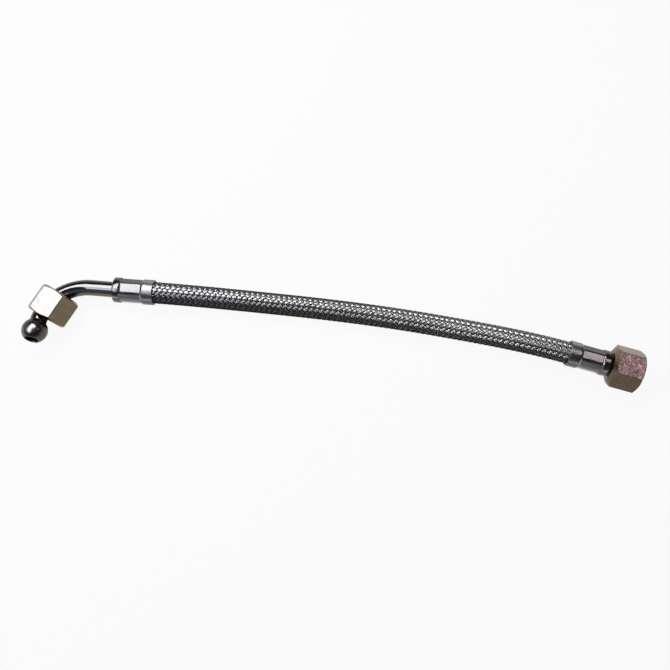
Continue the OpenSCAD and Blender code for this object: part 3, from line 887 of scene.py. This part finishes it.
def nut_finish(name, top, far_side, near_side, glint_share):
    """Top, far and near are painted reflection and shade for flats that face up, +Y and -Y at rest.

    A painted glint lies where the mottle is within 0.01 to 0.05 of its middle value, 0.5."""
    material, tree, shader, where = new_finish(name, 1.0)
    facing = put(tree, "ShaderNodeSeparateXYZ", [(0, where.outputs["Normal"])])
    # Painted reflection and painted shade by the way each flat faces at rest: up, toward +Y and
    # toward -Y.
    sides = blend_colour(tree, spread_to(tree, facing.outputs[1], -0.6, 0.6, 0.0, 1.0), near_side,
                         far_side)
    base = blend_colour(tree, spread_to(tree, facing.outputs[2], 0.6, 0.95, 0.0, 1.0), sides, top)
    mottle = noise(tree, where.outputs["Object"], 1500.0, 2.0, 0.5)
    off_middle = math_node(tree, "ABSOLUTE", math_node(tree, "SUBTRACT", mottle, 0.5))
    # Painted glints: pale marks that fade on flats that don't face up.
    painted_glints = spread_to(tree, off_middle, 0.01, 0.05, 1.0, 0.0)
    patches = noise(tree, where.outputs["Object"], 700.0, 2.0)
    painted_glints = math_node(tree, "MULTIPLY", painted_glints, spread_to(tree, patches, 0.4, 0.6, 0.2, 1.0))
    share = math_node(tree, "MULTIPLY", painted_glints, glint_share)
    up = spread_to(tree, facing.outputs[2], 0.6, 0.95, 0.15, 1.0)
    light = blend_colour(tree, math_node(tree, "MULTIPLY", share, up), base, PAINTED_GLINT_COLOUR)
    lumps = noise(tree, where.outputs["Object"], 300.0, 2.0)
    rough = spread_to(tree, lumps, 0.3, 0.7, 0.22, 0.34)
    finish_with(tree, shader, light, rough, mottle, 0.00004)
    return material


# The top, far and near colours below are painted reflection and painted shade, not the plating's
# own tints.
STRAIGHT_NUT = nut_finish(
    "straight_nut_painted_light", top=(0.12, 0.075, 0.082), far_side=(0.2, 0.14, 0.09),
    near_side=(0.10, 0.068, 0.043), glint_share=0.8)
ELBOW_NUT = nut_finish(
    "elbow_nut_painted_light", top=(0.36, 0.35, 0.34), far_side=(0.19, 0.15, 0.10),
    near_side=(0.17, 0.135, 0.085), glint_share=0.3)

# %% [markdown]
# ## Which piece wears which finish
# Three solids stay as they are, the washer and the two hose tails, because they lie inside
# and little of them shows. They only get a finish.

# %% Hand out the finishes
def dress(piece, material):
    """Gives the piece this material and no other."""
    piece.data.materials.clear()
    piece.data.materials.append(material)
    print(piece.name, "wears", material.name)


for piece, material in ((strands_one, WIRE), (strands_two, WIRE), (liner, LINER_RUBBER),
                        (straight_nut, STRAIGHT_NUT), (elbow_nut, ELBOW_NUT),
                        (straight_ferrule, FERRULE_PLATE), (elbow_ferrule, FERRULE_PLATE),
                        (bent_tube, TUBE_PLATE), (ball, BALL_PLATE),
                        (nodes["sealing_washer"], WASHER_RUBBER),
                        (nodes["straight_nipple"], NIPPLE_PLATE),
                        (nodes["elbow_hose_tail"], NIPPLE_PLATE)):
    dress(piece, material)

# %% [markdown]
# ## The table and the light
# Bright metal has no colour of its own to speak of: it shows what stands round it. A pale
# table lies below, dim walls stand round with a pale band at their foot, and soft lamps hang
# above. The table is matt, and for rays that the eye or a reflection sends it is also nearly
# white by itself, so that it stays pale under few lamps and still takes a faint shadow.

# %% Table
TABLE_HALF = 2.5
TABLE_WHITE = 0.93


def add_table():
    """A square just below the lowest solid, in a mix of matt and glow."""
    low = cad_low[2] - 0.0001
    corners = [(x * TABLE_HALF, y * TABLE_HALF, low)
               for x, y in ((-1, -1), (1, -1), (1, 1), (-1, 1))]
    mesh = bpy.data.meshes.new("table")
    mesh.from_pydata(corners, [], [(0, 1, 2, 3)])
    table = bpy.data.objects.new("table", mesh)
    bpy.context.scene.collection.objects.link(table)
    material = bpy.data.materials.new("pale_table")
    material.use_nodes = True
    tree = material.node_tree
    tree.nodes.clear()
    matt = put(tree, "ShaderNodeBsdfDiffuse", [("Color", (0.9, 0.9, 0.9, 1))])
    glow = put(tree, "ShaderNodeEmission", [("Color", (1, 1, 1, 1)), ("Strength", 1.0)])
    ray = put(tree, "ShaderNodeLightPath")
    seen = math_node(tree, "MAXIMUM", ray.outputs["Is Camera Ray"], ray.outputs["Is Glossy Ray"])
    seen = math_node(tree, "MAXIMUM", seen, ray.outputs["Is Transmission Ray"])
    share = math_node(tree, "MULTIPLY", seen, TABLE_WHITE)
    mix = put(tree, "ShaderNodeMixShader", [(0, share), (1, matt.outputs[0]),
                                            (2, glow.outputs[0])])
    put(tree, "ShaderNodeOutputMaterial", [(0, mix.outputs[0])])
    mesh.materials.append(material)
    print("table's top at", round(low / MM, 2), "mm")


add_table()

# %% Room
WALL_NEAR = (0.045, 0.045, 0.058)
WALL_FAR = (0.07, 0.067, 0.064)
WALL_FOOT = (0.5, 0.49, 0.48)
BACKDROP = (0.97, 0.97, 0.97)

world = bpy.data.worlds.new("room")
bpy.context.scene.world = world
world.use_nodes = True
sky = world.node_tree
sky.nodes.clear()
where = put(sky, "ShaderNodeTexCoord")
way = put(sky, "ShaderNodeSeparateXYZ", [(0, where.outputs["Generated"])])
near_to_far = spread_to(sky, way.outputs[1], -0.5, 0.5, 0.0, 1.0)
walls = blend_colour(sky, near_to_far, WALL_NEAR, WALL_FAR)
low_down = spread_to(sky, way.outputs[2], 0.1, 0.3, 1.0, 0.0)
walls = blend_colour(sky, low_down, walls, WALL_FOOT)
ray = put(sky, "ShaderNodeLightPath")
walls = blend_colour(sky, ray.outputs["Is Camera Ray"], walls, BACKDROP)
light = put(sky, "ShaderNodeBackground", [("Color", walls), ("Strength", 1.0)])
put(sky, "ShaderNodeOutputWorld", [(0, light.outputs[0])])

# %% Lamps
LAMP_Z = 0.4


def add_lamp(name, low, high, radiance, colour=(1, 1, 1)):
    """A flat soft lamp that hangs level, from corner low to corner high, in metres.

    Its power is radiance * pi * area, so a larger lamp looks no brighter in a reflection."""
    data = bpy.data.lights.new(name, "AREA")
    data.shape = "RECTANGLE"
    data.size = high[0] - low[0]
    data.size_y = high[1] - low[1]
    data.energy = radiance * math.pi * data.size * data.size_y
    data.color = colour
    lamp = bpy.data.objects.new(name, data)
    lamp.location = ((low[0] + high[0]) / 2, (low[1] + high[1]) / 2, LAMP_Z)
    bpy.context.scene.collection.objects.link(lamp)
    print(name, round(data.energy, 3), "W")


add_lamp("window_lamp", (-0.50, -0.05), (-0.36, 0.36), 5.0)
add_lamp("window_lamp_two", (-0.36, 0.10), (-0.19, 0.28), 5.5)
add_lamp("ceiling_lamp", (-0.62, -0.28), (-0.36, -0.05), 3.2, (0.84, 0.92, 1.0))
add_lamp("right_lamp", (0.05, 0.05), (0.2, 0.2), 2.2, (1.0, 0.85, 0.82))

# %% [markdown]
# ## The view transform
# The Standard view shows colours as the finishes name them.

# %% Looks settings
bpy.context.scene.view_settings.view_transform = "Standard"
